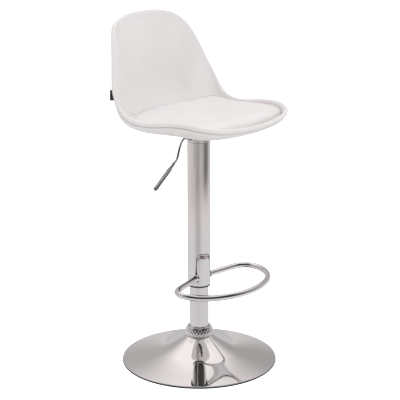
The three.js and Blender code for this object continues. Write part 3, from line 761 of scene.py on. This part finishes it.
def build_outer_cover(bucket):
    """The leather stretched over the shell's outside, ending in the seam under the roll."""
    rows, painted_shade_rows = [], []
    for t in np.linspace(0.05, 0.965, 40):
        row = bucket.at(t, 1)
        rows.append(row + bucket.facing * (ripple(row, 120, 9) * 0.25 * smoothstep(t, 0.2, 0.5))[:, None])
        painted_shade_rows.append(np.zeros(AROUND))
    puckers = bucket.puckers(11, 12) * 0.2
    # Painted shade in the crease under the roll: each row's third value is how dark the leather is painted
    # there.
    for out, face, painted_shade_level in ((-8.3, -5.2, 0.05), (-7.2, -5.15, 0.2), (-6.3, -4.9, 0.45), (-5.9, -4.4, 0.8),
                            (-5.9, -4.0, 1.0)):
        rows.append(bucket.rolled(np.full(AROUND, out), face + puckers * (1 - painted_shade_level)))
        painted_shade_rows.append(np.full(AROUND, painted_shade_level))
    for t in np.linspace(0.97, 0.05, 12):
        rows.append(bucket.at(t, COVER_INNER_LAYER))
        painted_shade_rows.append(np.zeros(AROUND))
    top = bucket.at(0, 1).mean(axis=0)
    bottom = bucket.at(0, COVER_INNER_LAYER).mean(axis=0)
    points, faces = skin(rows, top, bottom)
    piece = add_mesh("back_and_underside_cover", points, faces, white_leather, "seat", 0)
    store_painted_shade(piece, np.concatenate([[0], *painted_shade_rows, [0]]))
    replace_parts(piece, "outer_cover")


def build_stitches():
    """Thread along the seam under the roll: one short stitch after another."""
    fine = Bucket(STITCHES * STITCH_POINTS)
    line = fine.rolled(-4.1, -4.95)
    lift = np.array([-0.35, 0.12, 0.12, -0.35])[:, None]
    parts = []
    for start in range(0, len(line), STITCH_POINTS):
        run = slice(start, start + STITCH_POINTS)
        shape = line[run] + (fine.facing[run] * -0.9 + fine.outward[run] * -0.2) * lift
        middle = shape.mean(axis=0)
        parts.append(sweep(middle + (shape - middle) * 0.92, [0.16, 0.32, 0.32, 0.16], 6))
    points, faces = merged(*parts)
    add_mesh("seam_stitches", points, faces, thread, "seat", 0)


def pad_front(bucket):
    """1 at the front of the pad, where it sinks below the rolled edge, and 0 elsewhere."""
    return smoothstep(-bucket.edge[:, 1], 135, 175)


def pad_reach(bucket):
    """How far along each profile the pad's edge lies."""
    forward = smoothstep(-bucket.edge[:, 1], -20, 60)
    corner = np.exp(-0.5 * ((bucket.edge[:, 1] - 68) / 24) ** 2)
    rearward = smoothstep(bucket.edge[:, 1], 100, 150)
    limit = PAD_EDGE_HEIGHT + 9 * forward + 4 * corner - 4 * rearward
    height = np.minimum(bucket.edge[:, 2] - 1.2 - 6.6 * pad_front(bucket), limit)
    low, high = np.full(len(bucket.edge), 0.3), np.full(len(bucket.edge), 1.0)
    for _ in range(30):
        middle = (low + high) / 2
        below = bucket.at(middle, 0)[:, 2] < height
        low, high = np.where(below, middle, low), np.where(below, high, middle)
    return low


def build_pad(bucket):
    """The loose seat pad: a crowned cushion with a rounded border and a sewn edge."""
    reach = smoothed(pad_reach(bucket), 9)
    thick = bucket.at(reach, 0) - bucket.at(reach, 1)
    thick /= np.linalg.norm(thick, axis=1)[:, None]
    border = bucket.at(reach, 0) + thick * PAD_BORDER_LIFT
    centre = np.array([0, SEAT_CENTRE_Y, 0])
    front = pad_front(bucket)

    def below(share):
        p = bucket.at(reach * share, 0)
        q = bucket.at(reach * share, 1)
        lift = (p - q) / np.linalg.norm(p - q, axis=1)[:, None]
        return p + lift * PAD_CLEARANCE

    shares_top = np.concatenate([np.linspace(0.06, 0.8, 22), np.linspace(0.82, 0.995, 16)])
    rows, kinds = [], []
    for share in shares_top:
        flat = centre + (border - centre) * share
        crown = (1 - share ** (8 + 12 * front)) ** (1 / 2.2)
        flat[:, 2] = border[:, 2] + (PAD_TOP - border[:, 2]) * crown
        rows.append(flat)
        kinds.append(1)
    rows.append(border)
    kinds.append(0)
    for share in np.linspace(0.985, 0.06, 20):
        rows.append(below(share))
        kinds.append(-1)
    top = (0, SEAT_CENTRE_Y, PAD_TOP)
    points, faces = skin(rows, top, (0, SEAT_CENTRE_Y, SEAT_INNER_BOTTOM + PAD_CLEARANCE))
    kind = np.concatenate([[1]] + [np.full(AROUND, k) for k in kinds] + [[-1]])
    points = points + plumped(points, faces, kind)
    border_row = 1 + len(shares_top) * AROUND
    for offset, depth in ((-2, 0.1), (-1, 0.35), (0, 0.7), (1, 0.35)):
        ring = slice(border_row + offset * AROUND, border_row + (offset + 1) * AROUND)
        inward = centre - points[ring]
        inward[:, 2] = 0
        points[ring] += inward / np.linalg.norm(inward, axis=1)[:, None] * depth
    piece = add_mesh("seat_pad_cushion", points, faces, white_leather, "seat", 0)
    # Painted shade along the groove round the pad's border.
    seam = np.zeros(len(points))
    for offset, painted_shade_level in ((-1, 0.3), (0, 0.9), (1, 0.9), (2, 0.6)):
        seam[border_row + offset * AROUND:border_row + (offset + 1) * AROUND] = painted_shade_level
    store_painted_shade(piece, seam)
    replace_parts(piece, "seat_pad")


def plumped(points, faces, kind):
    """How far the pad's points move when it is filled, from a cloth simulation of a copy of it."""
    mesh = bpy.data.meshes.new("pad_form")
    mesh.from_pydata([tuple(p) for p in points * MM], [], faces)
    form = bpy.data.objects.new("pad_form", mesh)
    bpy.context.scene.collection.objects.link(form)
    bpy.context.view_layer.objects.active = form
    form.select_set(True)
    remesh = form.modifiers.new("remesh", "REMESH")
    remesh.mode = "VOXEL"
    remesh.voxel_size = PAD_VOXEL
    bpy.ops.object.modifier_apply(modifier="remesh")
    rest = np.array([v.co for v in form.data.vertices]) / MM
    cloth = form.modifiers.new("cloth", "CLOTH")
    cloth.settings.use_pressure = True
    cloth.settings.uniform_pressure_force = 4
    cloth.settings.effector_weights.gravity = 0
    cloth.settings.quality = 6
    cloth.point_cache.frame_start, cloth.point_cache.frame_end = 1, CLOTH_FRAMES
    for number in range(1, CLOTH_FRAMES + 1):
        bpy.context.scene.frame_set(number)
    shown = form.evaluated_get(bpy.context.evaluated_depsgraph_get())
    moved = np.array([v.co for v in shown.data.vertices]) / MM - rest
    bpy.data.objects.remove(form)
    bpy.context.scene.frame_set(1)
    tree = KDTree(len(rest))
    for i, p in enumerate(rest):
        tree.insert(p, i)
    tree.balance()
    shift = np.zeros_like(points)
    for i, p in enumerate(points):
        found = tree.find_n(p, 6)
        weights = np.array([1 / (1 + distance) for _, _, distance in found])
        shift[i] = (moved[[index for _, index, _ in found]] * weights[:, None]).sum(0) / weights.sum()
    length = np.linalg.norm(shift, axis=1)[:, None]
    shift *= np.minimum(1, PLUMP_LIMIT / np.maximum(length, 1e-6))
    shift[kind < 1] = 0  # the border and the underside stay
    return shift


def build_label():
    """A blank woven tag, folded once and held in the seam."""
    bottom, middle, top = (np.array(EDGE_HALF[i], float) * (-1, 1, 1) for i in (8, 9, 10))
    along = (top - bottom) / np.linalg.norm(top - bottom)
    facing = np.array([-0.79, -0.61, 0])
    facing = facing - along * (facing @ along)
    facing /= np.linalg.norm(facing)
    across = np.cross(facing, along)
    lean = math.radians(12)
    along, across = (along * math.cos(lean) - across * math.sin(lean),
                     across * math.cos(lean) + along * math.sin(lean))
    at = middle + facing * 3 + across * 5.5 - along * 1.8
    section = []
    for s in np.linspace(-4.5, 5.4, 10):
        section.append((s, 0.55 + 0.12 * math.sin(s * 0.9)))
    for a in np.radians(np.arange(80, -81, -20)):
        section.append((5.4 + 0.6 * math.cos(a), 0.55 * math.sin(a)))
    for s in np.linspace(5.4, -4.5, 10):
        section.append((s, -0.55 + 0.12 * math.sin(s * 0.9)))
    section = np.array(section)
    rows = []
    for height in np.concatenate([[-13.5], np.linspace(-13.2, 13.2, 23), [13.5]]):
        thin = 0.7 if abs(height) > 13.3 else 1
        curl = 0.35 * math.cos(height * 0.16) + 0.08 * math.sin(height * 1.1)
        rows.append(at + along * height + np.outer(section[:, 0], across)
                    + np.outer(section[:, 1] * thin + curl * (section[:, 0] + 6) / 12, facing))
    points = np.concatenate(rows)
    size = len(section)
    faces = grid_faces(len(rows), size)
    faces += [tuple(range(size))[::-1], tuple(range(len(points) - size, len(points)))]
    label = add_mesh("blank_label", points, faces, label_cloth, "seat", 50)
    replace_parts(label, "side_label")


# ---------------------------------------------------------------- the frame's own pieces
def finish_frame_nodes():
    """Give each frame piece that stays its material, soft edges and smooth shading."""
    slots = {row["node"]: row["material_slot"] for row in frame["record"]["subparts"]}
    for name, node in cad_nodes.items():
        if node.hide_render:
            continue
        node.data.materials.clear()
        node.data.materials.append(bracket_steel if name == "lever_bracket" else MATERIALS[slots[name]])
        node.data.shade_smooth()
        node.data.set_sharp_from_angle(angle=math.radians(32))
        if name in ("seat_plate", "lever_bracket", "taper_hub", "release_pin", "lever_pivot_pin"):
            weld = node.modifiers.new("weld", "WELD")
            weld.merge_threshold = 0.00001
            bevel = node.modifiers.new("bevel", "BEVEL")
            bevel.width = 0.0003
            bevel.segments = 2
            bevel.limit_method = "ANGLE"
            bevel.angle_limit = math.radians(40)


# ---------------------------------------------------------------- studio
CAMERA_AZIMUTH = math.radians(-52)
CAMERA_ELEVATION = math.radians(15.66)
CAMERA_DISTANCE = 3.4
CAMERA_LENS = 117.63
CAMERA_ROLL = math.radians(-0.13)
AIM_HEIGHT = 0.44166
AIM_RIGHT = 0.00296
FORWARD = Vector((-math.sin(CAMERA_AZIMUTH), math.cos(CAMERA_AZIMUTH), 0))
RIGHT = Vector((math.cos(CAMERA_AZIMUTH), math.sin(CAMERA_AZIMUTH), 0))


def build_camera():
    back = -FORWARD * math.cos(CAMERA_ELEVATION) + Vector((0, 0, math.sin(CAMERA_ELEVATION)))
    up = back.cross(RIGHT)
    c, s = math.cos(CAMERA_ROLL), math.sin(CAMERA_ROLL)
    right, up = RIGHT * c + up * s, up * c - RIGHT * s
    camera = bpy.data.objects.new("camera", bpy.data.cameras.new("camera"))
    camera.data.lens = CAMERA_LENS
    camera.data.sensor_width = 36
    camera.data.clip_end = 100
    turn = Matrix((right, up, back)).transposed()
    place = Vector((0, 0, AIM_HEIGHT)) + RIGHT * AIM_RIGHT + back * CAMERA_DISTANCE
    camera.matrix_world = Matrix.Translation(place) @ turn.to_4x4()
    bpy.context.scene.collection.objects.link(camera)
    bpy.context.scene.camera = camera


def soft_light(name, toward, distance, height, size, power):
    """A square softbox aimed at the seat. Toward is (forward, right) as the camera sees it."""
    light = bpy.data.lights.new(name, "AREA")
    light.shape = "SQUARE"
    light.size = size
    light.energy = power
    lamp = bpy.data.objects.new(name, light)
    lamp.location = (FORWARD * toward[0] + RIGHT * toward[1]).normalized() * distance + Vector((0, 0, height))
    aim = Vector((0, 0, 0.65)) - lamp.location
    lamp.rotation_euler = aim.to_track_quat("-Z", "Y").to_euler()
    lamp.visible_glossy = False
    bpy.context.scene.collection.objects.link(lamp)


def glowing(name, attribute):
    material = bpy.data.materials.new(name)
    material.use_nodes = True
    tree = material.node_tree
    tree.nodes.remove(tree.nodes["Principled BSDF"])
    glow = tree.nodes.new("ShaderNodeEmission")
    reader = tree.nodes.new("ShaderNodeAttribute")
    reader.attribute_name = attribute
    tree.links.new(reader.outputs["Color"], glow.inputs["Color"])
    tree.links.new(glow.outputs["Emission"], tree.nodes["Material Output"].inputs["Surface"])
    return material


ROOF_GLOW = 1.15
NEAR_FLOOR_GLOW = 0.8
DOME_RADIUS = 6
DOME_SIDES = 144
FLOOR_RINGS = (0.02, 0.1, 0.2, 0.3, 0.45, 0.6, 0.75, 0.9, 1.05, 1.2, 1.4, 1.6, 1.8, 2, 2.3, 2.7, 3.2, 4, 5)
FLOOR_REACH = 300
WORLD_STRENGTH = 0.76


def lobe(value, middle, width):
    return np.exp(-0.5 * ((value - middle) / width) ** 2)


def sky_glow(side, height):
    """Brightness of the studio's walls and ceiling. Side is the angle from the camera, to the right, in
    degrees, and height the angle over the horizon."""
    behind = smoothstep(np.abs(side), 75, 125)  # 1 past the stool, 0 on the camera's side
    rightward = smoothstep(np.sin(np.radians(side)), -0.35, 0.35)
    past = 0.71 - (0.19 + 0.08 * rightward) * smoothstep(height, -2, 20) + 0.62 * smoothstep(height, 26, 56)
    toward = 0.025 + 0.14 * lobe(height, 0, 5) + 0.045 * lobe(height, 47, 8)
    toward = toward + (0.55 * lobe(side, -82, 15) + 0.15 * lobe(side, 85, 12)) * smoothstep(-height, -52, -40)
    roof = smoothstep(height, 58, 74)
    glow = past * behind + toward * (1 - behind)
    return glow * (1 - roof) + ROOF_GLOW * roof


def floor_glow(side, distance):
    """Brightness of the floor that the polished parts reflect."""
    depth = 0.06 + 0.2 * smoothstep(distance, 0.5, 0.85) + 0.1 * smoothstep(distance, 1.6, 2.4)
    middle = depth * lobe(side, -9, 21)
    right = 0.62 * smoothstep(distance, 1.3, 2.6) * lobe(side, 74, 28)
    left = 0.12 * smoothstep(distance, 1.2, 1.8) * lobe(side, -60, 30)
    past = 0.2 * smoothstep(np.abs(side), 115, 165)
    return NEAR_FLOOR_GLOW - middle - right - left - past


def tinted(glow, distance):
    """The near floor is bluish and the far floor warm."""
    cool, warm, plain = np.array([[0.955, 0.97, 1.0], [1.0, 0.965, 0.95], [1.0, 0.985, 0.98]])
    near = smoothstep(-distance, -1.3, -0.8)
    far = smoothstep(distance, 1.0, 1.5) * smoothstep(-distance, -4.5, -3)
    tint = plain + (cool - plain) * near + (warm - plain) * far
    return np.concatenate([np.asarray(glow)[:, None] * tint, np.ones((len(glow), 1))], axis=1)


def build_surround():
    """Studio surfaces that only the reflections show: pale floor, grey walls, a bright ceiling."""
    side = np.arange(DOME_SIDES) * 360 / DOME_SIDES - 180
    turn = np.radians(side)
    heading = np.outer(-np.cos(turn), FORWARD) + np.outer(np.sin(turn), RIGHT)
    rows, glows = [], []
    for distance in FLOOR_RINGS:
        rows.append(heading * distance)
        glows.append(tinted(floor_glow(side, distance), distance))
    for height in range(0, 90, 3):
        e = math.radians(height)
        rows.append(heading * DOME_RADIUS * math.cos(e) + np.array([0, 0, DOME_RADIUS * math.sin(e)]))
        glows.append(tinted(sky_glow(side, float(height)), DOME_RADIUS))
    points, faces = skin(rows, (0, 0, 0), (0, 0, DOME_RADIUS))
    mesh = bpy.data.meshes.new("studio_surround")
    mesh.from_pydata([tuple(p) for p in points], [], faces)
    attribute = mesh.attributes.new("glow", "FLOAT_COLOR", "POINT")
    colors = np.concatenate([tinted([NEAR_FLOOR_GLOW], 0), *glows, tinted([ROOF_GLOW], DOME_RADIUS)])
    attribute.data.foreach_set("color", colors.astype(np.float32).ravel())
    mesh.materials.append(glowing("studio_glow", "glow"))
    surround = bpy.data.objects.new("studio_surround", mesh)
    bpy.context.scene.collection.objects.link(surround)
    for kind in ("camera", "diffuse", "transmission", "volume_scatter", "shadow"):
        setattr(surround, f"visible_{kind}", False)


def build_studio():
    """A floor that the camera sees, one that only lights the stool, soft lights and the surroundings."""
    for name, dark, light, glow in (("studio_floor", 0.86, 0.88, 1.0), ("floor_bounce", 0.74, 0.77, 0.14)):
        s = Surface(name, Roughness=0.9)
        s.to("Base Color", s.between(s.noise(3, 2.0), (dark,) * 3, (light,) * 3))
        s.shader.inputs["Emission Color"].default_value = (1, 1, 1, 1)
        s.shader.inputs["Emission Strength"].default_value = glow
        mesh = bpy.data.meshes.new(name)
        corners = [(x * FLOOR_REACH, y * FLOOR_REACH, 0) for x, y in ((-1, -1), (1, -1), (1, 1), (-1, 1))]
        mesh.from_pydata(corners, [], [(0, 1, 2, 3)])
        mesh.materials.append(s.material)
        floor = bpy.data.objects.new(name, mesh)
        bpy.context.scene.collection.objects.link(floor)
        seen = name == "studio_floor"
        floor.visible_camera = seen
        floor.visible_diffuse = not seen
        floor.visible_shadow = False
        floor.visible_glossy = False

    world = bpy.data.worlds.new("studio_world")
    world.use_nodes = True
    world.node_tree.nodes["Background"].inputs["Color"].default_value = (1, 1, 1, 1)
    world.node_tree.nodes["Background"].inputs["Strength"].default_value = WORLD_STRENGTH
    bpy.context.scene.world = world
    soft_light("top_softbox", (0.2, 0.3), 0.5, 2.8, 2.2, 17)
    soft_light("left_softbox", (-0.5, -1.0), 2.6, 1.9, 1.6, 6)
    soft_light("front_fill", (-1.0, 0.2), 3.2, 1.6, 1.6, 8)
    soft_light("right_fill", (-0.35, 1.0), 2.8, 1.2, 1.4, 7)
    build_surround()
    scene = bpy.context.scene
    scene.view_settings.view_transform = "Standard"
    scene.view_settings.look = "None"


bucket = Bucket(AROUND)
build_base()
build_column()
build_footrest()
build_lever()
build_screws()
build_upholstery(bucket)
build_outer_cover(bucket)
build_stitches()
build_pad(bucket)
build_label()
finish_frame_nodes()
build_camera()
build_studio()

bpy.context.view_layer.update()
